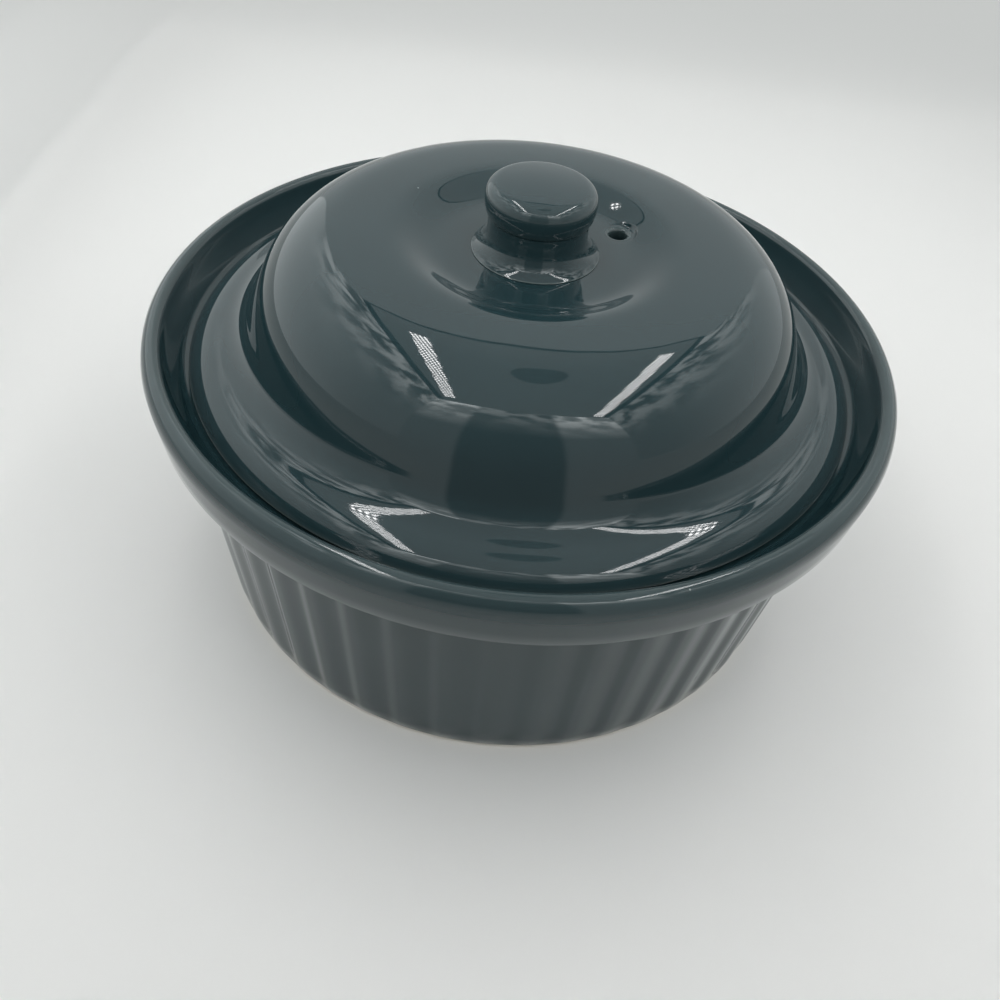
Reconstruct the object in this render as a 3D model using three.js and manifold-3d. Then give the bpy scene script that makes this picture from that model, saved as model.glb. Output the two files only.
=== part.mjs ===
// A round stoneware casserole: a dish with a pleated wall and a collared rim, a domed lid that
// seats in a gallery inside the rim, and a knob stuck on the lid with slip.
// Millimetres, +Z up. The foot ring stands on z = 0 and the axis of the dish is the Z axis.

import * as THREE from "three";
import { mergeVertices } from "three/addons/utils/BufferGeometryUtils.js";
import Module from "manifold-3d";

const wasm = await Module();
wasm.setup();

// Smoothness of the round forms, and how solids meet
const TURN_STEPS = 64;
const KNOB_TURN_STEPS = 36;
const VENT_TURN_STEPS = 20;
const CROWN_STEPS = 4;
const FACET_ERROR = 0.08; // how far a flat facet may cut inside its arc
const SEAM_GAP = 0.3; // kept between pieces that touch
const OVERLAP = 2; // how far solids that are joined or cut run past each other

// Dish: rim and collar
const RIM_RADIUS = 125;
const RIM_HEIGHT = 98.6;
const LIP_CREST_RADIUS = 121;
const LIP_INNER_RADIUS = 118.4;
const LIP_SHOULDER_DROP = 5.8;
const LIP_INNER_DROP = 3.6;
const COLLAR_EDGE_RADIUS = 123.1;
const COLLAR_EDGE_ROUND = 1;
const COLLAR_UNDERSIDE = 80;
const COLLAR_ROOT_WIDTH = 2; // small fillet between the collar's underside and the wall
const COLLAR_ROOT_DROP = 1;

// Dish: gallery that holds the lid
const LEDGE_HEIGHT = 86;
const LEDGE_INNER_RADIUS = 106;
const LEDGE_OUTER_RADIUS = 111.4;
const LEDGE_EDGE = 1;
const GALLERY_COVE = 2.6;
const GALLERY_SLOPE = 40; // degrees below level where the cove gives way to the sloping wall

// Dish: pleated wall
const WALL_FOOT_RADIUS = 104.1;
const WALL_TOP_RADIUS = 114.6;
const WALL_BOTTOM = 1;
const WALL_EDGE_ROUND = 1.1;
const FLUTES = 48;
const FLUTE_DEPTH = 0.9;
const FLUTE_START = THREE.MathUtils.degToRad(-0.3);
// One pleat: where its corners lie across its width, and how far out in shares of the depth
const PLEAT = [
  { across: 0.04, out: 0.5 },
  { across: 0.32, out: 0.4 },
  { across: 0.66, out: -0.4 },
  { across: 0.95, out: -0.5 },
];

// Dish: inside and foot
const FLOOR_HEIGHT = 7.5;
const FLOOR_CORNER = 11;
const CAVITY_FOOT_RADIUS = 98.5;
const CAVITY_TOP_RADIUS = 105;
const FOOT_RADIUS = 102.2;
const FOOT_INNER_RADIUS = 94;
const FOOT_RECESS = 1.6;
const FOOT_EDGE = 0.5;

// Lid: crown, shoulder, sloping side, cove and brim, as seen from outside
const LID_THICKNESS = 6.2;
const CROWN_CENTRE_HEIGHT = 125.6;
const CROWN_FLAT_RADIUS = 24; // level middle, where the knob stands
const CROWN_CREST_RADIUS = 47;
const CROWN_TOP_ROUND = 160; // radius of the gentle fall from the crest to the shoulder
const SHOULDER_ROUND = 29.3;
const SHOULDER_CENTRE_RADIUS = 60;
const SHOULDER_CENTRE_HEIGHT = 100.5;
const DOME_SLOPE = 71.5; // degrees below level, down the dome's straight side
const COVE_ROUND = 11.2;
const BRIM_TOP = 93.4;
const BRIM_ROLL = 11.1;
const BRIM_ROLL_END = 27; // degrees above level where the roll gives way to the seat's edge
const BRIM_SEAT_RADIUS = 110.4;
const BRIM_SEAT_WIDTH = 7.4;
const LID_SEAT = LEDGE_HEIGHT + SEAM_GAP;

// Lid: steam vent
const VENT_RADIUS = 2.95;
const VENT_MOUTH_RADIUS = 5;
const VENT_MOUTH_DEPTH = 1.1;
const VENT_FROM_AXIS = 30.8;
const VENT_BEARING = THREE.MathUtils.degToRad(30.5);

// Knob
const KNOB_TOP = 149.2;
const KNOB_CAP_ROUND = 80; // radius of the gently rounded top
const KNOB_SHOULDER_ROUND = 4.2;
const KNOB_RADIUS = 17.5;
const KNOB_NECK_RADIUS = 15.8;
const KNOB_NECK_HEIGHT = 137.6;
const KNOB_FLARE_ROUND = 11.6; // radius of the hollow flare from the foot up to the neck
const KNOB_FLARE_FOOT_LEAN = 38; // degrees above level at the foot's edge
const KNOB_FLARE_NECK_LEAN = 85; // degrees above level at the neck
const KNOB_FOOT_RADIUS = 20.4;
const KNOB_FOOT_EDGE = 0.6;

const GLAZE = 0x454d4f;
const GLAZE_ROUGHNESS = 0.16;

const point = (radius, height) => new THREE.Vector2(radius, height);

// Part of an ellipse in the profile plane. Angles are in degrees, 0 outward and 90 up.
function arc(centreRadius, centreHeight, spanRadius, spanHeight, from, to) {
  const facet = 2 * Math.acos(1 - FACET_ERROR / Math.max(spanRadius, spanHeight));
  const steps = Math.ceil(THREE.MathUtils.degToRad(Math.abs(to - from)) / facet);
  const points = [];
  for (let i = 0; i <= steps; i++) {
    const angle = THREE.MathUtils.degToRad(from + ((to - from) * i) / steps);
    points.push(
      point(centreRadius + spanRadius * Math.cos(angle), centreHeight + spanHeight * Math.sin(angle)),
    );
  }
  return points;
}

// A profile turned about the Z axis.
function turn(profile, steps = TURN_STEPS) {
  return new THREE.LatheGeometry(profile, steps).rotateX(Math.PI / 2);
}

// A closed skin over a stack of outlines with equal numbers of points, capped at both ends.
function loft(outlines) {
  const count = outlines[0].length;
  const last = outlines.length - 1;
  const points = outlines.flat();
  const bottomCentre = points.length;
  const topCentre = bottomCentre + 1;
  points.push(new THREE.Vector3(0, 0, outlines[0][0].z));
  points.push(new THREE.Vector3(0, 0, outlines[last][0].z));
  const faces = [];
  for (let i = 0; i < count; i++) {
    const next = (i + 1) % count;
    for (let level = 0; level < last; level++) {
      const low = level * count;
      const high = low + count;
      faces.push(low + i, low + next, high + next, low + i, high + next, high + i);
    }
    faces.push(bottomCentre, next, i, topCentre, last * count + i, last * count + next);
  }
  return new THREE.BufferGeometry().setFromPoints(points).setIndex(faces);
}

// A closed geometry as a solid that can be joined and cut.
function solid(geometry) {
  geometry.deleteAttribute("normal");
  geometry.deleteAttribute("uv");
  const merged = mergeVertices(geometry);
  const corners = merged.index.array;
  const faces = [];
  for (let i = 0; i < corners.length; i += 3) {
    const face = corners.slice(i, i + 3);
    if (new Set(face).size === 3) faces.push(...face);
  }
  const vertProperties = merged.attributes.position.array;
  const triVerts = new Uint32Array(faces);
  return new wasm.Manifold(new wasm.Mesh({ numProp: 3, vertProperties, triVerts }));
}

// A finished solid as a named mesh.
function piece(name, shape) {
  const { vertProperties, triVerts } = shape.getMesh();
  const geometry = new THREE.BufferGeometry();
  geometry.setAttribute("position", new THREE.BufferAttribute(vertProperties, 3));
  geometry.setIndex(new THREE.BufferAttribute(triVerts, 1));
  geometry.computeVertexNormals();
  const material = new THREE.MeshStandardMaterial({
    color: GLAZE,
    roughness: GLAZE_ROUGHNESS,
    metalness: 0,
  });
  const mesh = new THREE.Mesh(geometry, material);
  mesh.name = name;
  return mesh;
}

// Mean radius of the wall's outside at a height.
function wallRadius(height) {
  return THREE.MathUtils.mapLinear(height, 0, COLLAR_UNDERSIDE, WALL_FOOT_RADIUS, WALL_TOP_RADIUS);
}

// One level of the pleated wall. Each pleat steps out sharply, stays proud for a quarter of its
// width, falls away slowly and ends in a flat valley, so the wall looks like overlapping folds.
function pleatedOutline(height, inset) {
  const outline = [];
  for (let flute = 0; flute < FLUTES; flute++) {
    for (const { across, out } of PLEAT) {
      const angle = FLUTE_START + (2 * Math.PI * (flute + across)) / FLUTES;
      const radius = wallRadius(height) - inset + FLUTE_DEPTH * out;
      outline.push(new THREE.Vector3(radius * Math.cos(angle), radius * Math.sin(angle), height));
    }
  }
  return outline;
}

// The collar ring with its lip and gallery, as a closed section.
function rimProfile() {
  const collarFaceTop = RIM_HEIGHT - LIP_SHOULDER_DROP;
  const inside = LEDGE_INNER_RADIUS - OVERLAP;
  const wallTop = wallRadius(COLLAR_UNDERSIDE);
  const rootBottom = COLLAR_UNDERSIDE - COLLAR_ROOT_DROP;
  const edge = COLLAR_EDGE_ROUND;
  const shoulder = RIM_RADIUS - LIP_CREST_RADIUS;
  const innerLip = LIP_CREST_RADIUS - LIP_INNER_RADIUS;
  const innerLipFoot = RIM_HEIGHT - LIP_INNER_DROP;
  const cove = GALLERY_COVE;
  return [
    point(inside, rootBottom),
    point(wallTop, rootBottom),
    point(wallTop + COLLAR_ROOT_WIDTH, COLLAR_UNDERSIDE),
    ...arc(COLLAR_EDGE_RADIUS - edge, COLLAR_UNDERSIDE + edge, edge, edge, -90, 0),
    ...arc(LIP_CREST_RADIUS, collarFaceTop, shoulder, LIP_SHOULDER_DROP, 0, 90),
    ...arc(LIP_CREST_RADIUS, innerLipFoot, innerLip, LIP_INNER_DROP, 90, 180),
    ...arc(LEDGE_OUTER_RADIUS, LEDGE_HEIGHT + cove, cove, cove, -GALLERY_SLOPE, -90),
    point(inside, LEDGE_HEIGHT),
    point(inside, rootBottom),
  ];
}

// The space for food, from the floor up through the mouth of the ledge.
function cavityProfile() {
  const cornerRadius = CAVITY_FOOT_RADIUS - FLOOR_CORNER;
  const aboveRim = RIM_HEIGHT + OVERLAP;
  return [
    point(0, FLOOR_HEIGHT),
    ...arc(cornerRadius, FLOOR_HEIGHT + FLOOR_CORNER, FLOOR_CORNER, FLOOR_CORNER, -90, 0),
    point(CAVITY_TOP_RADIUS, LEDGE_HEIGHT - LEDGE_EDGE),
    point(LEDGE_INNER_RADIUS, LEDGE_HEIGHT),
    point(LEDGE_INNER_RADIUS, aboveRim),
    point(0, aboveRim),
  ];
}

function makeDish() {
  const wall = loft([
    pleatedOutline(WALL_BOTTOM, WALL_EDGE_ROUND),
    pleatedOutline(WALL_BOTTOM + WALL_EDGE_ROUND, 0),
    pleatedOutline(COLLAR_UNDERSIDE + OVERLAP, 0),
  ]);
  const foot = turn([
    point(0, 0),
    point(FOOT_RADIUS - FOOT_EDGE, 0),
    point(FOOT_RADIUS, FOOT_EDGE),
    point(FOOT_RADIUS, WALL_BOTTOM + OVERLAP),
    point(0, WALL_BOTTOM + OVERLAP),
  ]);
  const recess = turn([
    point(0, -OVERLAP),
    point(FOOT_INNER_RADIUS, -OVERLAP),
    point(FOOT_INNER_RADIUS, 0),
    point(FOOT_INNER_RADIUS - FOOT_RECESS, FOOT_RECESS),
    point(0, FOOT_RECESS),
  ]);
  return solid(wall)
    .add(solid(turn(rimProfile())))
    .add(solid(foot))
    .subtract(solid(turn(cavityProfile())))
    .subtract(solid(recess));
}

// The angle, in radians, at which the fall from the crown's crest runs into the round shoulder.
function crestLean() {
  const apart = SHOULDER_CENTRE_RADIUS - CROWN_CREST_RADIUS;
  return Math.asin(apart / (CROWN_TOP_ROUND - SHOULDER_ROUND));
}

// Height of the centre that the fall from the crest is struck from.
function crestCentreHeight() {
  return SHOULDER_CENTRE_HEIGHT - (CROWN_TOP_ROUND - SHOULDER_ROUND) * Math.cos(crestLean());
}

// Height of the lid's dished crown at a distance from the axis: level in the middle, then a smooth
// rise to its crest.
function crownHeight(radius) {
  const crest = crestCentreHeight() + CROWN_TOP_ROUND;
  const share = Math.max(radius - CROWN_FLAT_RADIUS, 0) / (CROWN_CREST_RADIUS - CROWN_FLAT_RADIUS);
  const rise = 0.5 - 0.5 * Math.cos(Math.PI * share);
  return CROWN_CENTRE_HEIGHT + (crest - CROWN_CENTRE_HEIGHT) * rise;
}

// The crown from the axis out to just inside its crest, raised by a given amount.
function crownCurve(lift) {
  const step = (CROWN_CREST_RADIUS - CROWN_FLAT_RADIUS) / CROWN_STEPS;
  const points = [point(0, CROWN_CENTRE_HEIGHT + lift)];
  for (let i = 0; i < CROWN_STEPS; i++) {
    const radius = CROWN_FLAT_RADIUS + step * i;
    points.push(point(radius, crownHeight(radius) + lift));
  }
  return points;
}

// The dome from the crown's crest down its straight side to the crest of the brim, at a depth under
// the outside: a gentle fall, a round shoulder, and a cove that ends level above the brim.
function domeCurve(depth) {
  const slope = THREE.MathUtils.degToRad(DOME_SLOPE);
  const bends = SHOULDER_ROUND + COVE_ROUND;
  const shoulderTop = SHOULDER_CENTRE_HEIGHT + SHOULDER_ROUND;
  const sideDrop = shoulderTop - BRIM_TOP - bends * (1 - Math.cos(slope));
  const brim = SHOULDER_CENTRE_RADIUS + bends * Math.sin(slope) + sideDrop / Math.tan(slope);
  const fallEnd = 90 - THREE.MathUtils.radToDeg(crestLean());
  const fall = CROWN_TOP_ROUND - depth;
  const shoulder = SHOULDER_ROUND - depth;
  const cove = COVE_ROUND + depth;
  return [
    ...arc(CROWN_CREST_RADIUS, crestCentreHeight(), fall, fall, 90, fallEnd),
    ...arc(SHOULDER_CENTRE_RADIUS, SHOULDER_CENTRE_HEIGHT, shoulder, shoulder, fallEnd, 90 - DOME_SLOPE),
    ...arc(brim, BRIM_TOP + COVE_ROUND, cove, cove, 270 - DOME_SLOPE, 270),
  ];
}

// The lid's section: down the outside from the axis to the seat, and back up the inside, which runs
// parallel to it.
function lidProfile() {
  const outside = domeCurve(0);
  const brim = outside[outside.length - 1].x;
  return [
    ...crownCurve(0),
    ...outside,
    ...arc(brim, BRIM_TOP - BRIM_ROLL, BRIM_ROLL, BRIM_ROLL, 90, BRIM_ROLL_END),
    point(BRIM_SEAT_RADIUS, LID_SEAT),
    point(BRIM_SEAT_RADIUS - BRIM_SEAT_WIDTH, LID_SEAT),
    ...domeCurve(LID_THICKNESS).reverse(),
    ...crownCurve(-LID_THICKNESS).reverse(),
  ];
}

// The lid with its vent: a small straight hole whose mouth is rounded over.
function makeLid() {
  const mouth = crownHeight(VENT_FROM_AXIS);
  const bottom = mouth - LID_THICKNESS - OVERLAP;
  const top = mouth + OVERLAP;
  const flare = VENT_MOUTH_RADIUS - VENT_RADIUS;
  const vent = turn(
    [
      point(0, bottom),
      point(VENT_RADIUS, bottom),
      ...arc(VENT_MOUTH_RADIUS, mouth - VENT_MOUTH_DEPTH, flare, VENT_MOUTH_DEPTH, 180, 90),
      point(VENT_MOUTH_RADIUS, top),
      point(0, top),
    ],
    VENT_TURN_STEPS,
  );
  vent.translate(VENT_FROM_AXIS, 0, 0).rotateZ(VENT_BEARING);
  return solid(turn(lidProfile().reverse())).subtract(solid(vent));
}

// The knob. Its neck spreads in a hollow flare down to a thin edge on the level crown. Above it are a
// drawn-in cheek, a tight round shoulder and a gently rounded top.
function makeKnob() {
  const seat = CROWN_CENTRE_HEIGHT + SEAM_GAP;
  const flare = KNOB_FLARE_ROUND;
  const footLean = THREE.MathUtils.degToRad(KNOB_FLARE_FOOT_LEAN);
  const flareRadius = KNOB_FOOT_RADIUS + flare * Math.sin(footLean);
  const flareHeight = seat + KNOB_FOOT_EDGE + flare * Math.cos(footLean);
  const shoulder = KNOB_SHOULDER_ROUND;
  const cap = KNOB_CAP_ROUND;
  const lean = Math.asin((KNOB_RADIUS - shoulder) / (cap - shoulder));
  const widest = KNOB_TOP - cap + (cap - shoulder) * Math.cos(lean);
  const capStart = 90 - THREE.MathUtils.radToDeg(lean);
  const cheekWidth = KNOB_RADIUS - KNOB_NECK_RADIUS;
  const profile = [
    point(0, seat),
    point(KNOB_FOOT_RADIUS, seat),
    ...arc(flareRadius, flareHeight, flare, flare, 270 - KNOB_FLARE_FOOT_LEAN, 270 - KNOB_FLARE_NECK_LEAN),
    ...arc(KNOB_NECK_RADIUS, widest, cheekWidth, widest - KNOB_NECK_HEIGHT, -90, 0),
    ...arc(KNOB_RADIUS - shoulder, widest, shoulder, shoulder, 0, capStart),
    ...arc(0, KNOB_TOP - cap, cap, cap, capStart, 90),
  ];
  return solid(turn(profile, KNOB_TURN_STEPS));
}

const casserole = new THREE.Group();
casserole.add(piece("dish", makeDish()));
casserole.add(piece("lid", makeLid()));
casserole.add(piece("knob", makeKnob()));

export default casserole;
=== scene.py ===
"""The look of a round stoneware casserole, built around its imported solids.

Three pieces stand for the three solids: the dish with its pleated wall, the domed lid with its
vent, and the knob. Each is a surface worked out as whole arrays of points. Lengths are in
millimetres, and turn into metres when a mesh is made. The axis of the dish is Z, and the foot
stands on z = 0.
"""

import math

import bpy
import numpy as np
from mathutils import Matrix


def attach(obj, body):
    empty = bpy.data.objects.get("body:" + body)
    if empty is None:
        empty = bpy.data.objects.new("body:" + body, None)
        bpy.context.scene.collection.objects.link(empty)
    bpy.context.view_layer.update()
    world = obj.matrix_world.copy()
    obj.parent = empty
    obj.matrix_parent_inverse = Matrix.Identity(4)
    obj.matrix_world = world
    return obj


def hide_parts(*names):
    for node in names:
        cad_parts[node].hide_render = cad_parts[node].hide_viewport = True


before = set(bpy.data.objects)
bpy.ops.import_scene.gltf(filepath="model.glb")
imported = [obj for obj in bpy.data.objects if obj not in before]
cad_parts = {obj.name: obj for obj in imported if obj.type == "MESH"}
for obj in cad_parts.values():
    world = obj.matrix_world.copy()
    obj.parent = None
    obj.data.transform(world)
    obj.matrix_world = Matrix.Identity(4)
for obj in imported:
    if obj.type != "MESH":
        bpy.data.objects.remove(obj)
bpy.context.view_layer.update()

MM = 0.001

# Dish: rim and collar
RIM_RADIUS = 125
RIM_HEIGHT = 98.6
LIP_CREST_RADIUS = 121
LIP_INNER_RADIUS = 118.4
LIP_SHOULDER_DROP = 5.8
LIP_INNER_DROP = 3.6
COLLAR_EDGE_RADIUS = 123.1
COLLAR_EDGE_ROUND = 1
COLLAR_UNDERSIDE = 80
COLLAR_ROOT_WIDTH = 2
COLLAR_ROOT_DROP = 1

# Dish: gallery that holds the lid
LEDGE_HEIGHT = 86
LEDGE_INNER_RADIUS = 106
LEDGE_OUTER_RADIUS = 111.4
LEDGE_EDGE = 1
GALLERY_COVE = 2.6
GALLERY_SLOPE = 40

# Dish: pleated wall, with the parts of a pleat as shares of its width
WALL_FOOT_RADIUS = 104.1
WALL_TOP_RADIUS = 114.6
WALL_BOTTOM = 1
WALL_EDGE_ROUND = 1.1
FLUTES = 48
FLUTE_DEPTH = 0.9
FLUTE_START = math.radians(-0.3)
FLUTE_RISE = 5
PLEAT_STEP = 0.17
PLEAT_FALL = 0.27
PLEAT_FALL_WIDTH = 0.55

# Dish: inside and foot
FLOOR_HEIGHT = 7.5
FLOOR_CORNER = 11
CAVITY_FOOT_RADIUS = 98.5
CAVITY_TOP_RADIUS = 105
FOOT_RADIUS = 102.2
FOOT_INNER_RADIUS = 94
FOOT_RECESS = 1.6
FOOT_EDGE = 0.5
FOOT_TOP = 0.9

# Lid
LID_THICKNESS = 6.2
CROWN_CENTRE_HEIGHT = 125.6
CROWN_FLAT_RADIUS = 30.5
CROWN_CREST_RADIUS = 47
CROWN_TOP_ROUND = 160
SHOULDER_ROUND = 29.3
SHOULDER_CENTRE = (60, 100.5)
DOME_SLOPE = 71.5
COVE_ROUND = 11.2
BRIM_TOP = 93.4
BRIM_ROLL = 11.1
BRIM_ROLL_END = 27
BRIM_SEAT_RADIUS = 110.4
BRIM_SEAT_WIDTH = 7.4
BRIM_SEAT_EDGE = 1
LID_SEAT = 86.3

# Steam vent, beside a level recess pressed into the crown's slope
VENT_RADIUS = 2.95
VENT_MOUTH_RADIUS = 4.4
VENT_MOUTH_DEPTH = 1.2
VENT_FROM_AXIS = 30.8
VENT_BEARING = math.radians(30.5)
RECESS_RADIUS = 5.2
RECESS_HEIGHT = 125.8
RECESS_STEEPNESS = 1.5
RECESS_BLEND = 0.2

# Knob
KNOB_TOP = 149.2
KNOB_CAP_ROUND = 80
KNOB_SHOULDER_ROUND = 4.2
KNOB_RADIUS = 17.5
KNOB_NECK_RADIUS = 15.8
KNOB_NECK_HEIGHT = 137.6
KNOB_FLARE_ROUND = 7.4
KNOB_FLARE_FOOT_LEAN = 20
KNOB_FLARE_NECK_LEAN = 85
KNOB_FOOT_RADIUS = 20.8
KNOB_FOOT_EDGE = 0.15
KNOB_SEAM = 0.05

# Glaze: how far it melts corners round, and how thin it runs on edges, pleats and the vent's lip
DISH_MELT = 0.35
LID_OUTSIDE_MELT = 1.2
LID_INSIDE_MELT = 0.5
BRIM_MELT = 0.4
KNOB_MELT = 0.4
EDGE_THINNING = 0.8
PLEAT_THINNING = 0.2
VENT_THINNING = 0.5

# Meshes: rows and columns, and the length that one radian of turning counts for in a section
ARC_POINTS = 40
SECTION_STEP = 0.1
TURN_LENGTH = 8.0
KNOB_TURN_LENGTH = 6.0
DISH_ROWS = 102
PLEAT_STEP_COLUMNS = 11
PLEAT_REST = (0.22, 0.78)
PLEAT_REST_COLUMNS = 9
CROWN_POINTS = 60
BRIM_ROWS = 120
CROWN_RING_RADIUS = 60
CROWN_ROWS = 60
CROWN_CROWDING = 1.6
VENT_LIP_ROWS = 9
LID_COLUMNS = 288
KNOB_ROWS = 100
KNOB_COLUMNS = 192

# Materials: sizes of patterns and heights of relief
GLAZE_CLOUD_SIZE = 30
GLAZE_SPECK_SPACING = 22
GLAZE_SWAY_SIZE = 22
GLAZE_SWAY_HEIGHT = 0.06
GLAZE_PEEL_SIZE = 2.5
GLAZE_PEEL_HEIGHT = 0.0006
CLAY_GRAIN_SIZE = 1.2
CLAY_GRAIN_HEIGHT = 0.1
BOARD_CLOUD_SIZE = 333

# Numbered sockets of a Mix node that mixes colours
MIX_A = 6
MIX_B = 7
MIX_RESULT = 2

# Camera and table
CAMERA_PLACE = (-1.59, -291.97, 298.49)
CAMERA_TILT = math.radians(44.396)
CAMERA_ROLL = math.radians(6.879)
CAMERA_LENS = 37.28
CAMERA_CLIP = (0.01, 50)
SENSOR_WIDTH = 36
TABLE_REACH = 4000

# Light tent: sizes, and how far under the roof each kind of sheet hangs, so that none touch
TENT_LEFT = -265
TENT_RIGHT = 322
TENT_FRONT = -340
TENT_BACK = 420
TENT_LOW = 110
FRONT_LOW = 66
TENT_HIGH = 600
BACK_SEAM_DROP = 1
SIDE_SEAM_DROP = 2
WALL_DROP = 3
OPENING_DROP = 4
STRIP_DROP = 5
SEAM_WIDTH = 24
STRIP_WIDTH = 38
STRIP_LEFT_START = (-206, -292)
STRIP_LEFT_END = (-153, 285)
STRIP_RIGHT_START = (274, -330)
STRIP_RIGHT_END = (237, 300)
LAMP_SPACING = (9.5, 16)
ROOF_OPENING = (34, 70)
ROOF_OPENING_SPAN = (50, 92)

# Light tent: brightness, for walls at the foot of their rise and at the roof
CLOTH_COLOUR = "#f8fdfd"
ROOF_LEVEL = 0.77
OPENING_LEVEL = 0.36
ROOM_LEVEL = 0.69
LEFT_LEVELS = (1.3, 1.65)
RIGHT_LEVELS = (0.92, 1.3)
BACK_LEVELS = (0.7, 1.0)
FRONT_LEVELS = (0.6, 4.2)
SIDE_RISE = 250
BACK_RISE = 100
FRONT_RISE = 300
SIDE_SLACK = 0.75
FRONT_SLACK = 0.6
FOLD_SIZE = 80
FOLD_EDGES = (0.38, 0.62)
FOLD_HEIGHTS = (250, 550)
FRONT_FLAG = ("X", (102, 122), (560, 640), 0.38)
SIDE_SHADE = ("Y", (-260, 60), (250, 420), 0.55)


def arc(centre, span, start, end, count=ARC_POINTS):
    """Part of an ellipse in the profile plane: centre + span * (cos a, sin a), a in degrees."""
    a = np.radians(np.linspace(start, end, count))
    return np.c_[centre[0] + span[0] * np.cos(a), centre[1] + span[1] * np.sin(a)]


def marked(points, *marks):
    """Profile points with constant marks set beside them, such as the share of pleating."""
    points = np.atleast_2d(np.asarray(points, float))
    return np.c_[points, np.tile(np.asarray(marks, float), (len(points), 1))]


def evened(profile, spacing):
    """The same line cut into even steps of about one spacing along its length."""
    length = np.r_[0, np.cumsum(np.hypot(*np.diff(profile[:, :2], axis=0).T))]
    at = np.linspace(0, length[-1], int(length[-1] / spacing) + 1)
    return np.column_stack([np.interp(at, length, column) for column in profile.T])


def softened(profile, reach, mirror=(True, True)):
    """A profile with its corners melted round: each point is the mean of its neighbours along the
    line, weighted by a bell curve of the given reach. An end on the axis carries on as its mirror
    image, and any other end as itself turned half round."""
    fine = evened(profile, SECTION_STEP)
    pad = int(4 * reach / SECTION_STEP)
    flip = np.ones(fine.shape[1])
    flip[0] = -1
    before, after = fine[pad:0:-1], fine[-2 : -pad - 2 : -1]
    head = before * flip if mirror[0] else 2 * fine[0] - before
    tail = after * flip if mirror[1] else 2 * fine[-1] - after
    bell = np.exp(-0.5 * (np.arange(-pad, pad + 1) * SECTION_STEP / reach) ** 2)
    bell /= bell.sum()
    return np.column_stack([np.convolve(c, bell, "valid") for c in np.r_[head, fine, tail].T])


def picked(profile, count, turn_length=TURN_LENGTH):
    """Some points of a fine profile, closer where it turns: even steps of length plus turning angle
    times the length that a radian counts for."""
    step = np.diff(profile[:, :2], axis=0)
    heading = np.unwrap(np.arctan2(step[:, 1], step[:, 0]))
    cost = np.hypot(*step.T) + turn_length * np.r_[0, np.abs(np.diff(heading))]
    cost = np.r_[0, np.cumsum(cost)]
    at = np.linspace(0, cost[-1], count)
    return np.column_stack([np.interp(at, cost, column) for column in profile.T])


def convexity(profile):
    """How sharply a profile turns at each point, in radians per millimetre, above 0 on outer
    edges: the change of its heading over its length."""
    heading = np.unwrap(np.arctan2(*np.gradient(profile[:, :2], axis=0).T[::-1]))
    length = np.r_[0, np.cumsum(np.hypot(*np.diff(profile[:, :2], axis=0).T))]
    return np.gradient(heading, length)


def smooth_step(x):
    """0 below 0, 1 above 1, and 3x^2 - 2x^3 between."""
    x = np.clip(x, 0, 1)
    return x * x * (3 - 2 * x)


def round_turn(columns):
    """Even angles once round the axis."""
    return 2 * np.pi * np.arange(columns) / columns


def turned(radius, height, angle):
    """A section turned about the axis: points (r cos a, r sin a, z) in rows and columns."""
    x, y = radius * np.cos(angle), radius * np.sin(angle)
    return np.stack([x, y, np.broadcast_to(height, x.shape)], axis=-1)


def skin(name, points, thin, bare, ring=False):
    """A mesh over a grid of points, rows by columns by xyz. Columns close round on themselves. Rows
    close too if ring is true, and otherwise the first and last row are each gathered to one pole.
    Thin says how thin the glaze is at each point, and bare which rows are clay without glaze."""
    rows, columns, _ = points.shape
    if ring:
        ids = np.arange(rows * columns).reshape(rows, columns)
        ids = np.r_[ids, ids[:1]]
    else:
        ids = np.arange(1, (rows - 2) * columns + 1).reshape(rows - 2, columns)
    beside = np.roll(ids, -1, axis=1)
    quads = np.stack([ids[:-1], beside[:-1], beside[1:], ids[1:]], axis=-1)
    faces = quads.reshape(-1, 4).tolist()
    vertices, thin_at = points.reshape(-1, 3), thin.reshape(-1)
    if not ring:
        first, last = np.zeros_like(ids[0]), np.full_like(ids[0], ids[-1, -1] + 1)
        start = np.stack([first, beside[0], ids[0]], axis=-1)
        end = np.stack([ids[-1], beside[-1], last], axis=-1)
        faces = start.tolist() + faces + end.tolist()
        vertices = np.r_[points[:1].mean(1), points[1:-1].reshape(-1, 3), points[-1:].mean(1)]
        thin_at = np.r_[thin[0, 0], thin[1:-1].reshape(-1), thin[-1, 0]]
    row_of_face = np.repeat(np.arange(len(faces) // columns), columns)
    mesh = bpy.data.meshes.new(name)
    mesh.from_pydata((vertices * MM).tolist(), [], faces)
    mesh.polygons.foreach_set("use_smooth", np.ones(len(faces), bool))
    mesh.polygons.foreach_set("material_index", (bare[row_of_face] > 0.5).astype(np.int32))
    glaze_thinness = mesh.attributes.new("thin", "FLOAT", "POINT")
    glaze_thinness.data.foreach_set("value", thin_at.astype(np.float32))
    mesh.update()
    piece = bpy.data.objects.new(name, mesh)
    bpy.context.scene.collection.objects.link(piece)
    return piece


def pleat(across):
    """Height of one pleat, from 0 in the valley to 1 on the crest, at a share of its width: a quick
    step out about 0, a short crest, and a slow fall to the next step."""
    across = (across + 0.5) % 1 - 0.5
    up = smooth_step((across + PLEAT_STEP) / (2 * PLEAT_STEP))
    across = np.where(across < -PLEAT_STEP, across + 1, across)
    down = 1 - smooth_step((across - PLEAT_FALL) / PLEAT_FALL_WIDTH)
    return np.where(across < PLEAT_FALL, up, down)


def wall_radius(height):
    """Radius of the tapering wall at a height: a straight line from the foot up to the collar."""
    return WALL_FOOT_RADIUS + (WALL_TOP_RADIUS - WALL_FOOT_RADIUS) * height / COLLAR_UNDERSIDE


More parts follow.
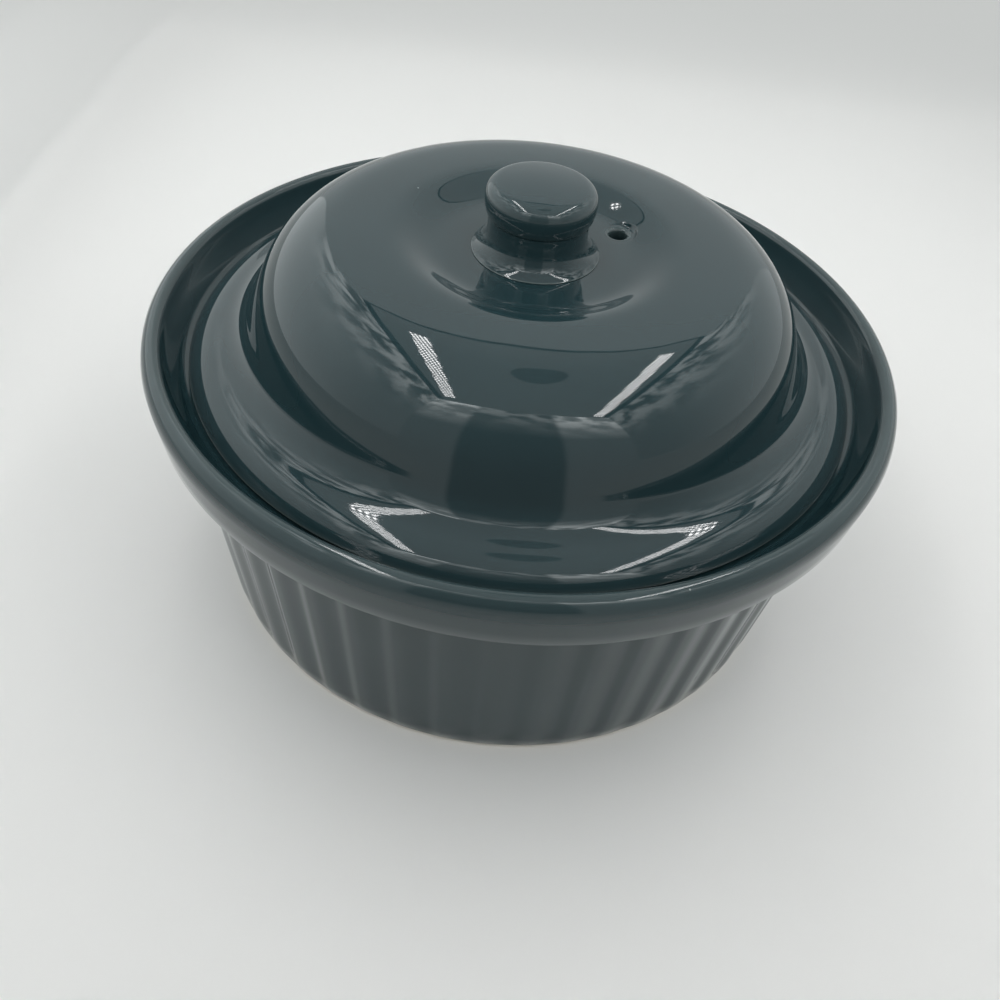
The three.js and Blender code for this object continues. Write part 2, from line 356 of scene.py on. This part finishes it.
def dish_profile():
    """The dish's section from the middle of its underside, up the outside, over the lip and down to
    the middle of the floor inside. Beside each point stand its shares of pleating and bare clay."""
    wall_start = WALL_BOTTOM + WALL_EDGE_ROUND
    wall_end = COLLAR_UNDERSIDE - COLLAR_ROOT_DROP
    face_top = RIM_HEIGHT - LIP_SHOULDER_DROP
    edge, cove, corner = COLLAR_EDGE_ROUND, GALLERY_COVE, FLOOR_CORNER
    lip_outer = (RIM_RADIUS - LIP_CREST_RADIUS, LIP_SHOULDER_DROP)
    lip_inner = (LIP_CREST_RADIUS - LIP_INNER_RADIUS, LIP_INNER_DROP)
    underside = [(0, FOOT_RECESS), (FOOT_INNER_RADIUS - FOOT_RECESS, FOOT_RECESS)]
    foot = [
        (FOOT_INNER_RADIUS, 0),
        (FOOT_RADIUS - FOOT_EDGE, 0),
        (FOOT_RADIUS, FOOT_EDGE),
        (FOOT_RADIUS, FOOT_TOP),
    ]
    wall_edge = [(wall_radius(WALL_BOTTOM) - WALL_EDGE_ROUND, WALL_BOTTOM)]
    wall = [(wall_radius(wall_start), wall_start), (wall_radius(wall_end), wall_end)]
    collar = np.r_[
        [(wall_radius(COLLAR_UNDERSIDE) + COLLAR_ROOT_WIDTH, COLLAR_UNDERSIDE)],
        arc((COLLAR_EDGE_RADIUS - edge, COLLAR_UNDERSIDE + edge), (edge, edge), -90, 0),
        arc((LIP_CREST_RADIUS, face_top), lip_outer, 0, 90),
        arc((LIP_CREST_RADIUS, RIM_HEIGHT - LIP_INNER_DROP), lip_inner, 90, 180),
        arc((LEDGE_OUTER_RADIUS, LEDGE_HEIGHT + cove), (cove, cove), -GALLERY_SLOPE, -90),
    ]
    inside = np.r_[
        [(LEDGE_INNER_RADIUS, LEDGE_HEIGHT), (CAVITY_TOP_RADIUS, LEDGE_HEIGHT - LEDGE_EDGE)],
        arc((CAVITY_FOOT_RADIUS - corner, FLOOR_HEIGHT + corner), (corner, corner), 0, -90),
        [(0, FLOOR_HEIGHT)],
    ]
    whole = np.r_[
        marked(underside, 0, 0),
        marked(foot, 0, 1),
        marked(wall_edge, 1, 1),
        marked(wall, 1, 0),
        marked(collar, 0, 0),
        marked(inside, 0, 0),
    ]
    return softened(whole, DISH_MELT)


def make_dish():
    """The dish: its section turned about the axis, at radius r + pleating * depth * (pleat - 1/2).
    The columns crowd round each pleat's step. Glaze runs thin on outer edges and on the pleats'
    crests."""
    rows = picked(dish_profile(), DISH_ROWS)
    across = np.r_[
        np.linspace(-PLEAT_STEP, PLEAT_STEP, PLEAT_STEP_COLUMNS),
        np.linspace(*PLEAT_REST, PLEAT_REST_COLUMNS),
    ]
    share = (np.arange(FLUTES)[:, None] + across).ravel()
    crest = pleat(share) - 0.5
    pleated = rows[:, 2:3] * smooth_step((rows[:, 1:2] - WALL_BOTTOM) / FLUTE_RISE)
    radius = rows[:, :1] + pleated * FLUTE_DEPTH * crest
    radius[[0, -1]] = 0
    points = turned(radius, rows[:, 1:2], FLUTE_START + 2 * np.pi * share / FLUTES)
    thin = EDGE_THINNING * convexity(rows)[:, None] + PLEAT_THINNING * pleated * crest
    return skin("dish_glazed", points, np.clip(thin, -1, 1), rows[:, 3])


# The gentle fall outside the crown's crest meets the round shoulder at this angle below level
FALL_REACH = CROWN_TOP_ROUND - SHOULDER_ROUND
CREST_LEAN = math.asin((SHOULDER_CENTRE[0] - CROWN_CREST_RADIUS) / FALL_REACH)
CREST_CENTRE_HEIGHT = SHOULDER_CENTRE[1] - FALL_REACH * math.cos(CREST_LEAN)


def crown_height(radius):
    """Height of the dished crown: level in the middle, then a cosine rise out to its crest."""
    share = (radius - CROWN_FLAT_RADIUS) / (CROWN_CREST_RADIUS - CROWN_FLAT_RADIUS)
    rise = 0.5 - 0.5 * np.cos(np.pi * np.clip(share, 0, 1))
    crest_height = CREST_CENTRE_HEIGHT + CROWN_TOP_ROUND
    return CROWN_CENTRE_HEIGHT + (crest_height - CROWN_CENTRE_HEIGHT) * rise


def dome_section(depth):
    """The lid's section from the axis down to the crest of its brim, at a depth under the outside:
    the dished crown, a gentle fall, a round shoulder, a sloping straight side, and a cove that ends
    level."""
    slope = math.radians(DOME_SLOPE)
    bends = SHOULDER_ROUND + COVE_ROUND
    side_drop = SHOULDER_CENTRE[1] + SHOULDER_ROUND - BRIM_TOP - bends * (1 - math.cos(slope))
    brim = SHOULDER_CENTRE[0] + bends * math.sin(slope) + side_drop / math.tan(slope)
    fall_end = 90 - math.degrees(CREST_LEAN)
    fall = CROWN_TOP_ROUND - depth
    shoulder = SHOULDER_ROUND - depth
    cove = COVE_ROUND + depth
    radius = np.linspace(0, CROWN_CREST_RADIUS, CROWN_POINTS)
    return np.r_[
        np.c_[radius, crown_height(radius) - depth],
        arc((CROWN_CREST_RADIUS, CREST_CENTRE_HEIGHT), (fall, fall), 90, fall_end)[1:],
        arc(SHOULDER_CENTRE, (shoulder, shoulder), fall_end, 90 - DOME_SLOPE)[1:],
        arc((brim, BRIM_TOP + COVE_ROUND), (cove, cove), 270 - DOME_SLOPE, 270),
    ]


def lid_outside():
    """The lid's outer section, from the axis down to the outer edge of its rolled brim."""
    dome = dome_section(0)
    roll = arc((dome[-1, 0], BRIM_TOP - BRIM_ROLL), (BRIM_ROLL, BRIM_ROLL), 90, BRIM_ROLL_END)
    return softened(np.r_[dome, roll[1:]], LID_OUTSIDE_MELT, mirror=(True, False))


def lid_inside():
    """The lid's inner section, from the seat's inner edge up to the axis."""
    seat = [(BRIM_SEAT_RADIUS - BRIM_SEAT_WIDTH, LID_SEAT)]
    dome = dome_section(LID_THICKNESS)[::-1]
    return softened(np.r_[seat, dome], LID_INSIDE_MELT, mirror=(False, True))


def height_at(section, radius):
    """Height of a section at a distance from the axis."""
    order = np.argsort(section[:, 0])
    return np.interp(radius, section[order, 0], section[order, 1])


def recessed(height, from_vent):
    """The crown's height with the vent's recess pressed in: the lower of the crown, a, and a floor,
    b, that is level out to the recess's edge and then climbs as steepness * distance^2. The two run
    into each other by (a + b - sqrt((a - b)^2 + blend^2)) / 2."""
    floor = RECESS_HEIGHT + RECESS_STEEPNESS * np.maximum(from_vent - RECESS_RADIUS, 0) ** 2
    return 0.5 * (height + floor - np.sqrt((height - floor) ** 2 + RECESS_BLEND**2))


def make_lid():
    """The lid, a ring-shaped skin with the vent as its hole. Outside the crown's ring each row is a
    circle about the axis. On the crown the rows are circles whose centre slides from the axis to
    the vent as they shrink, so that the innermost ones are the vent's own rounded lip."""
    top, under = lid_outside(), lid_inside()
    brim = np.r_[
        marked(under[under[:, 0] > CROWN_RING_RADIUS][::-1], 0),
        marked([(BRIM_SEAT_RADIUS - BRIM_SEAT_EDGE, LID_SEAT)], 1),
        marked([(BRIM_SEAT_RADIUS, LID_SEAT)], 0),
        marked(top[top[:, 0] > CROWN_RING_RADIUS][::-1], 0),
    ]
    brim = picked(softened(brim, BRIM_MELT, mirror=(False, False)), BRIM_ROWS)
    room = CROWN_RING_RADIUS - VENT_MOUTH_RADIUS
    spread = VENT_MOUTH_RADIUS + room * np.linspace(1, 0, CROWN_ROWS)[1:] ** CROWN_CROWDING
    lip = np.radians(np.linspace(90, 180, VENT_LIP_ROWS))[1:]
    lip_radius = VENT_MOUTH_RADIUS + (VENT_MOUTH_RADIUS - VENT_RADIUS) * np.cos(lip)
    lip_drop = VENT_MOUTH_DEPTH * (1 - np.sin(lip))
    ring = np.r_[spread, lip_radius][:, None]
    drop = np.r_[np.zeros(len(spread)), lip_drop][:, None]
    slide = np.clip((CROWN_RING_RADIUS - ring) / room, 0, 1)
    angle = round_turn(LID_COLUMNS)
    vent_x = VENT_FROM_AXIS * math.cos(VENT_BEARING)
    vent_y = VENT_FROM_AXIS * math.sin(VENT_BEARING)
    x = slide * vent_x + ring * np.cos(angle)
    y = slide * vent_y + ring * np.sin(angle)
    from_axis, from_vent = np.hypot(x, y), np.hypot(x - vent_x, y - vent_y)
    upper = recessed(height_at(top, from_axis), from_vent) - drop
    lower = height_at(under, from_axis) + drop
    points = np.concatenate(
        [
            np.stack([x, y, lower], axis=-1)[::-1],
            turned(brim[:, :1], brim[:, 1:2], angle),
            np.stack([x, y, upper], axis=-1),
        ]
    )
    brim_rows = slice(len(ring), len(ring) + len(brim))
    thin = np.zeros(points.shape[:2])
    thin[brim_rows] = EDGE_THINNING * convexity(brim)[:, None]
    thin[-len(lip) :] = VENT_THINNING
    bare = np.zeros(len(points))
    bare[brim_rows] = brim[:, 2]
    return skin("lid_glazed", points, np.clip(thin, -1, 1), bare, ring=True)


def make_knob():
    """The knob: its section turned about the axis. The neck spreads in a hollow flare on the level
    crown, the cheek is drawn in to it, and a tight round shoulder leads to a gently rounded top."""
    seat = CROWN_CENTRE_HEIGHT + KNOB_SEAM
    flare, shoulder, cap = KNOB_FLARE_ROUND, KNOB_SHOULDER_ROUND, KNOB_CAP_ROUND
    foot_lean = math.radians(KNOB_FLARE_FOOT_LEAN)
    flare_centre = (
        KNOB_FOOT_RADIUS + flare * math.sin(foot_lean),
        seat + KNOB_FOOT_EDGE + flare * math.cos(foot_lean),
    )
    cap_lean = math.asin((KNOB_RADIUS - shoulder) / (cap - shoulder))
    cap_start = 90 - math.degrees(cap_lean)
    widest = KNOB_TOP - cap + (cap - shoulder) * math.cos(cap_lean)
    cheek = (KNOB_RADIUS - KNOB_NECK_RADIUS, widest - KNOB_NECK_HEIGHT)
    whole = np.r_[
        [(0, seat), (KNOB_FOOT_RADIUS, seat)],
        arc(flare_centre, (flare, flare), 270 - KNOB_FLARE_FOOT_LEAN, 270 - KNOB_FLARE_NECK_LEAN),
        arc((KNOB_NECK_RADIUS, widest), cheek, -90, 0),
        arc((KNOB_RADIUS - shoulder, widest), (shoulder, shoulder), 0, cap_start)[1:],
        arc((0, KNOB_TOP - cap), (cap, cap), cap_start, 90)[1:],
    ]
    rows = picked(softened(whole, KNOB_MELT), KNOB_ROWS, KNOB_TURN_LENGTH)
    rows[[0, -1], 0] = 0
    points = turned(rows[:, :1], rows[:, 1:2], round_turn(KNOB_COLUMNS))
    thin = np.repeat(EDGE_THINNING * convexity(rows)[:, None], KNOB_COLUMNS, axis=1)
    return skin("knob_glazed", points, np.clip(thin, -1, 1), np.zeros(len(rows)))


def linear(colour):
    """A colour written as sRGB hex, as linear red, green, blue and alpha."""
    c = np.array([int(colour[i : i + 2], 16) for i in (1, 3, 5)]) / 255
    c = np.where(c <= 0.04045, c / 12.92, ((c + 0.055) / 1.055) ** 2.4)
    return (*c.tolist(), 1.0)


def pattern_scale(size):
    """The scale, in repeats for a metre, of a pattern whose features are a size apart."""
    return 1 / (size * MM)


def node(tree, kind, sockets=None, **settings):
    """Adds one node. Settings are its own properties, and sockets its inputs, by name or number,
    each with a value or with another node's output to link."""
    made = tree.nodes.new(kind)
    for name, value in settings.items():
        setattr(made, name, value)
    for name, value in (sockets or {}).items():
        if isinstance(value, bpy.types.NodeSocket):
            tree.links.new(value, made.inputs[name])
        else:
            made.inputs[name].default_value = value
    return made


def new_material(name):
    """A material with an empty node tree, and that tree."""
    made = bpy.data.materials.new(name)
    made.use_nodes = True
    made.node_tree.nodes.clear()
    return made, made.node_tree


def slate_glaze():
    """Gloss slate-grey glaze, fired on stoneware: a smooth glassy coat, paler where it runs thin on
    edges, with a slow unevenness of colour, gloss and surface, and a few pale specks."""
    made, tree = new_material("gloss_slate_glaze_on_stoneware")
    place = node(tree, "ShaderNodeTexCoord").outputs["Object"]
    cloud = node(
        tree,
        "ShaderNodeTexNoise",
        {"Vector": place, "Scale": pattern_scale(GLAZE_CLOUD_SIZE), "Detail": 3.0},
    )
    body = node(
        tree,
        "ShaderNodeMix",
        {"Factor": cloud.outputs["Fac"], MIX_A: linear("#1b2f33"), MIX_B: linear("#23373b")},
        data_type="RGBA",
    )
    thin = node(tree, "ShaderNodeAttribute", attribute_name="thin")
    thinned = node(
        tree,
        "ShaderNodeMapRange",
        {"Value": thin.outputs["Fac"], "From Min": 0.05, "From Max": 0.8, "To Max": 0.5},
    )
    edged = node(
        tree,
        "ShaderNodeMix",
        {
            "Factor": thinned.outputs["Result"],
            MIX_A: body.outputs[MIX_RESULT],
            MIX_B: linear("#5d6766"),
        },
        data_type="RGBA",
    )
    grit = node(
        tree,
        "ShaderNodeTexVoronoi",
        {"Vector": place, "Scale": pattern_scale(GLAZE_SPECK_SPACING)},
    )
    speck = node(
        tree,
        "ShaderNodeMapRange",
        {
            "Value": grit.outputs["Distance"],
            "From Min": 0.011,
            "From Max": 0.015,
            "To Min": 1.0,
            "To Max": 0.0,
        },
    )
    specked = node(
        tree,
        "ShaderNodeMix",
        {
            "Factor": speck.outputs["Result"],
            MIX_A: edged.outputs[MIX_RESULT],
            MIX_B: linear("#7f8887"),
        },
        data_type="RGBA",
    )
    sway = node(
        tree,
        "ShaderNodeTexNoise",
        {"Vector": place, "Scale": pattern_scale(GLAZE_SWAY_SIZE), "Detail": 1.0},
    )
    swell = node(
        tree,
        "ShaderNodeBump",
        {"Height": sway.outputs["Fac"], "Strength": 1.0, "Distance": GLAZE_SWAY_HEIGHT * MM},
    )
    peel = node(
        tree,
        "ShaderNodeTexNoise",
        {"Vector": place, "Scale": pattern_scale(GLAZE_PEEL_SIZE), "Detail": 1.0},
    )
    surface = node(
        tree,
        "ShaderNodeBump",
        {
            "Height": peel.outputs["Fac"],
            "Strength": 1.0,
            "Distance": GLAZE_PEEL_HEIGHT * MM,
            "Normal": swell.outputs["Normal"],
        },
    )
    gloss = node(
        tree,
        "ShaderNodeMapRange",
        {"Value": cloud.outputs["Fac"], "To Min": 0.02, "To Max": 0.05},
    )
    shader = node(
        tree,
        "ShaderNodeBsdfPrincipled",
        {
            "Base Color": specked.outputs[MIX_RESULT],
            "Roughness": gloss.outputs["Result"],
            "IOR": 1.56,
            "Normal": surface.outputs["Normal"],
        },
    )
    node(tree, "ShaderNodeOutputMaterial", {"Surface": shader.outputs["BSDF"]})
    return made


def bare_clay():
    """Bare fired stoneware where the glaze was wiped off before firing: pale, dry and slightly
    gritty. Real grit is finer, and is drawn at about a millimetre so that it shows."""
    made, tree = new_material("bare_fired_stoneware")
    place = node(tree, "ShaderNodeTexCoord").outputs["Object"]
    grain = node(
        tree,
        "ShaderNodeTexNoise",
        {"Vector": place, "Scale": pattern_scale(CLAY_GRAIN_SIZE), "Detail": 4.0},
    )
    tone = node(
        tree,
        "ShaderNodeMix",
        {"Factor": grain.outputs["Fac"], MIX_A: linear("#c9c1b2"), MIX_B: linear("#ddd6c8")},
        data_type="RGBA",
    )
    grit = node(
        tree,
        "ShaderNodeBump",
        {"Height": grain.outputs["Fac"], "Distance": CLAY_GRAIN_HEIGHT * MM},
    )
    shader = node(
        tree,
        "ShaderNodeBsdfPrincipled",
        {
            "Base Color": tone.outputs[MIX_RESULT],
            "Roughness": 0.85,
            "Normal": grit.outputs["Normal"],
        },
    )
    node(tree, "ShaderNodeOutputMaterial", {"Surface": shader.outputs["BSDF"]})
    return made


def pale_board():
    """The pale matt board that the dish stands on, very slightly uneven in tone."""
    made, tree = new_material("pale_matt_board")
    place = node(tree, "ShaderNodeTexCoord").outputs["Object"]
    cloud = node(
        tree,
        "ShaderNodeTexNoise",
        {"Vector": place, "Scale": pattern_scale(BOARD_CLOUD_SIZE), "Detail": 2.0},
    )
    tone = node(
        tree,
        "ShaderNodeMix",
        {"Factor": cloud.outputs["Fac"], MIX_A: linear("#ebe9e7"), MIX_B: linear("#efedeb")},
        data_type="RGBA",
    )
    shader = node(
        tree,
        "ShaderNodeBsdfPrincipled",
        {"Base Color": tone.outputs[MIX_RESULT], "Roughness": 0.7},
    )
    node(tree, "ShaderNodeOutputMaterial", {"Surface": shader.outputs["BSDF"]})
    return made


def led_strip():
    """Rows of small bright lamps on a dim strip, one in each cell of an even grid."""
    made, tree = new_material("led_strip")
    place = node(tree, "ShaderNodeTexCoord").outputs["Object"]
    cells = (pattern_scale(LAMP_SPACING[0]), pattern_scale(LAMP_SPACING[1]), 1)
    spaced = node(tree, "ShaderNodeMapping", {"Vector": place, "Scale": cells})
    grid = node(
        tree,
        "ShaderNodeTexVoronoi",
        {"Vector": spaced.outputs["Vector"], "Scale": 1.0, "Randomness": 0.0},
        voronoi_dimensions="2D",
    )
    dots = node(
        tree,
        "ShaderNodeMapRange",
        {
            "Value": grid.outputs["Distance"],
            "From Min": 0.18,
            "From Max": 0.34,
            "To Min": 32.0,
            "To Max": 1.2,
        },
    )
    glow = node(tree, "ShaderNodeEmission", {"Strength": dots.outputs["Result"]})
    node(tree, "ShaderNodeOutputMaterial", {"Surface": glow.outputs["Emission"]})
    return made


def even_cloth(name, level):
    """White tent cloth that lets the same light through all over."""
    made, tree = new_material(name)
    glow = node(tree, "ShaderNodeEmission", {"Color": linear(CLOTH_COLOUR), "Strength": level})
    node(tree, "ShaderNodeOutputMaterial", {"Surface": glow.outputs["Emission"]})
    return made


def wall_cloth(name, levels, rise, slack=0.0, dim=None):
    """White tent cloth that hangs as a wall. Its light goes from the first level, up to the height
    of the rise, to the second one at the roof. Slack is the share by which folds change it there.
    Dim, where it is given, names a lower part with less light: an axis, the two places along it
    (for X on either side of the middle) between which the light comes back, two heights likewise,
    and the share that is left."""
    made, tree = new_material(name)
    place = node(tree, "ShaderNodeTexCoord").outputs["Object"]
    axes = node(tree, "ShaderNodeSeparateXYZ", {"Vector": place}).outputs
    level = node(
        tree,
        "ShaderNodeMapRange",
        {
            "Value": axes["Z"],
            "From Min": rise * MM,
            "From Max": TENT_HIGH * MM,
            "To Min": levels[0],
            "To Max": levels[1],
        },
    )
    strength = level.outputs["Result"]
    if slack:
        cloud = node(
            tree,
            "ShaderNodeTexNoise",
            {"Vector": place, "Scale": pattern_scale(FOLD_SIZE), "Detail": 3.0},
        )
        fold = node(
            tree,
            "ShaderNodeMapRange",
            {
                "Value": cloud.outputs["Fac"],
                "From Min": FOLD_EDGES[0],
                "From Max": FOLD_EDGES[1],
                "To Min": -1.0,
                "To Max": 1.0,
            },
            interpolation_type="SMOOTHSTEP",
        )
        loose = node(
            tree,
            "ShaderNodeMapRange",
            {
                "Value": axes["Z"],
                "From Min": FOLD_HEIGHTS[0] * MM,
                "From Max": FOLD_HEIGHTS[1] * MM,
                "To Max": slack,
            },
            interpolation_type="SMOOTHSTEP",
        )
        change = node(
            tree,
            "ShaderNodeMath",
            {0: fold.outputs["Result"], 1: loose.outputs["Result"], 2: 1.0},
            operation="MULTIPLY_ADD",
        )
        folded = node(
            tree, "ShaderNodeMath", {0: strength, 1: change.outputs[0]}, operation="MULTIPLY"
        )
        strength = folded.outputs[0]
    if dim:
        axis, places, heights, share = dim
        along = axes[axis]
        if axis == "X":
            along = node(tree, "ShaderNodeMath", {0: along}, operation="ABSOLUTE").outputs[0]
        beside = node(
            tree,
            "ShaderNodeMapRange",
            {
                "Value": along,
                "From Min": places[0] * MM,
                "From Max": places[1] * MM,
                "To Min": share,
                "To Max": 1.0,
            },
            interpolation_type="SMOOTHSTEP",
        )
        above = node(
            tree,
            "ShaderNodeMapRange",
            {
                "Value": axes["Z"],
                "From Min": heights[0] * MM,
                "From Max": heights[1] * MM,
            },
            interpolation_type="SMOOTHSTEP",
        )
        left_over = node(
            tree,
            "ShaderNodeMath",
            {0: beside.outputs["Result"], 1: above.outputs["Result"]},
            operation="MAXIMUM",
        )
        dimmed = node(
            tree, "ShaderNodeMath", {0: strength, 1: left_over.outputs[0]}, operation="MULTIPLY"
        )
        strength = dimmed.outputs[0]
    glow = node(tree, "ShaderNodeEmission", {"Color": linear(CLOTH_COLOUR), "Strength": strength})
    node(tree, "ShaderNodeOutputMaterial", {"Surface": glow.outputs["Emission"]})
    return made


def dark_cloth():
    """Dark cloth: the tent's seams, which the glaze mirrors."""
    made, tree = new_material("dark_cloth")
    shader = node(
        tree, "ShaderNodeBsdfPrincipled", {"Base Color": linear("#606364"), "Roughness": 0.9}
    )
    node(tree, "ShaderNodeOutputMaterial", {"Surface": shader.outputs["BSDF"]})
    return made


def flat_sheet(name, corners, material, seen=False):
    """A flat sheet for the studio. One that isn't seen only lights the dish or is mirrored."""
    mesh = bpy.data.meshes.new(name)
    mesh.from_pydata((np.array(corners) * MM).tolist(), [], [tuple(range(len(corners)))])
    mesh.materials.append(material)
    sheet = bpy.data.objects.new(name, mesh)
    sheet.visible_camera = seen
    bpy.context.scene.collection.objects.link(sheet)


def level_sheet(name, left, right, front, back, height, material, seen=False):
    """A level sheet with four straight sides."""
    outline = [(left, front), (right, front), (right, back), (left, back)]
    flat_sheet(name, [(*corner, height) for corner in outline], material, seen)


def upright_sheet(name, start, end, low, high, material):
    """An upright sheet that stands over the line from start to end, in x and y."""
    flat_sheet(name, [(*start, low), (*end, low), (*end, high), (*start, high)], material)


def light_tent():
    """A small light tent round the dish: a dim roof with dark seams, two lamp strips and a dimmer
    oval opening, bright side walls, a back wall, and a front wall with a dark flag between two
    flaps."""
    left, right, front, back, high = TENT_LEFT, TENT_RIGHT, TENT_FRONT, TENT_BACK, TENT_HIGH
    dark, lamps = dark_cloth(), led_strip()
    side_seam, back_seam = high - SIDE_SEAM_DROP, high - BACK_SEAM_DROP
    level_sheet("roof", left, right, front, back, high, even_cloth("roof_cloth", ROOF_LEVEL))
    level_sheet("roof_seam_left", left, left + SEAM_WIDTH, front, back, side_seam, dark)
    level_sheet("roof_seam_right", right - SEAM_WIDTH, right, front, back, side_seam, dark)
    level_sheet("roof_seam_back", left, right, back - SEAM_WIDTH / 2, back, back_seam, dark)
    half = STRIP_WIDTH / 2
    for name, start, end in (
        ("strip_left", STRIP_LEFT_START, STRIP_LEFT_END),
        ("strip_right", STRIP_RIGHT_START, STRIP_RIGHT_END),
    ):
        corners = [
            (start[0] - half, start[1], high - STRIP_DROP),
            (start[0] + half, start[1], high - STRIP_DROP),
            (end[0] + half, end[1], high - STRIP_DROP),
            (end[0] - half, end[1], high - STRIP_DROP),
        ]
        flat_sheet(name, corners, lamps)
    oval = arc(ROOF_OPENING, ROOF_OPENING_SPAN, 0, 360)[1:]
    opening = np.c_[oval, np.full(len(oval), high - OPENING_DROP)]
    flat_sheet("roof_opening", opening, even_cloth("opening_shade", OPENING_LEVEL))
    for name, start, end, low, cloth in (
        (
            "wall_left",
            (left, front),
            (left, back),
            TENT_LOW,
            wall_cloth("left_cloth", LEFT_LEVELS, SIDE_RISE, SIDE_SLACK, SIDE_SHADE),
        ),
        (
            "wall_right",
            (right, front),
            (right, back),
            TENT_LOW,
            wall_cloth("right_cloth", RIGHT_LEVELS, SIDE_RISE, SIDE_SLACK, SIDE_SHADE),
        ),
        (
            "wall_back",
            (left, back),
            (right, back),
            TENT_LOW,
            wall_cloth("back_cloth", BACK_LEVELS, BACK_RISE),
        ),
        (
            "wall_front",
            (left, front),
            (right, front),
            FRONT_LOW,
            wall_cloth("front_cloth", FRONT_LEVELS, FRONT_RISE, FRONT_SLACK, FRONT_FLAG),
        ),
    ):
        upright_sheet(name, start, end, low, high - WALL_DROP, cloth)


def pale_room():
    """The even light of the room outside the tent."""
    world = bpy.data.worlds.new("pale_room")
    bpy.context.scene.world = world
    world.use_nodes = True
    room = world.node_tree.nodes["Background"]
    room.inputs["Color"].default_value = linear(CLOTH_COLOUR)
    room.inputs["Strength"].default_value = ROOM_LEVEL


def place_camera():
    """The camera where the photograph's view was taken from: above the front, rolled a little. Its
    axes are worked out from the tilt below level and the roll."""
    tilt, roll = CAMERA_TILT, CAMERA_ROLL
    right = (math.cos(roll), math.sin(roll) * math.sin(tilt), math.sin(roll) * math.cos(tilt))
    up = (-math.sin(roll), math.cos(roll) * math.sin(tilt), math.cos(roll) * math.cos(tilt))
    back = (0, -math.cos(tilt), math.sin(tilt))
    data = bpy.data.cameras.new("camera")
    data.lens = CAMERA_LENS
    data.sensor_width = SENSOR_WIDTH
    data.clip_start, data.clip_end = CAMERA_CLIP
    camera = bpy.data.objects.new("camera", data)
    rows = [[right[i], up[i], back[i], CAMERA_PLACE[i] * MM] for i in range(3)]
    camera.matrix_world = Matrix(rows + [[0, 0, 0, 1]])
    bpy.context.scene.collection.objects.link(camera)
    bpy.context.scene.camera = camera


glaze, clay = slate_glaze(), bare_clay()
for made, node_name, body in (
    (make_dish(), "dish", "dish"),
    (make_lid(), "lid", "lid"),
    (make_knob(), "knob", "lid"),
):
    made.data.materials.append(glaze)
    made.data.materials.append(clay)
    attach(made, body)
    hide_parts(node_name)

reach = TABLE_REACH
level_sheet("table", -reach, reach, -reach, reach, 0, pale_board(), seen=True)
light_tent()
pale_room()
place_camera()
bpy.context.scene.view_settings.view_transform = "Standard"
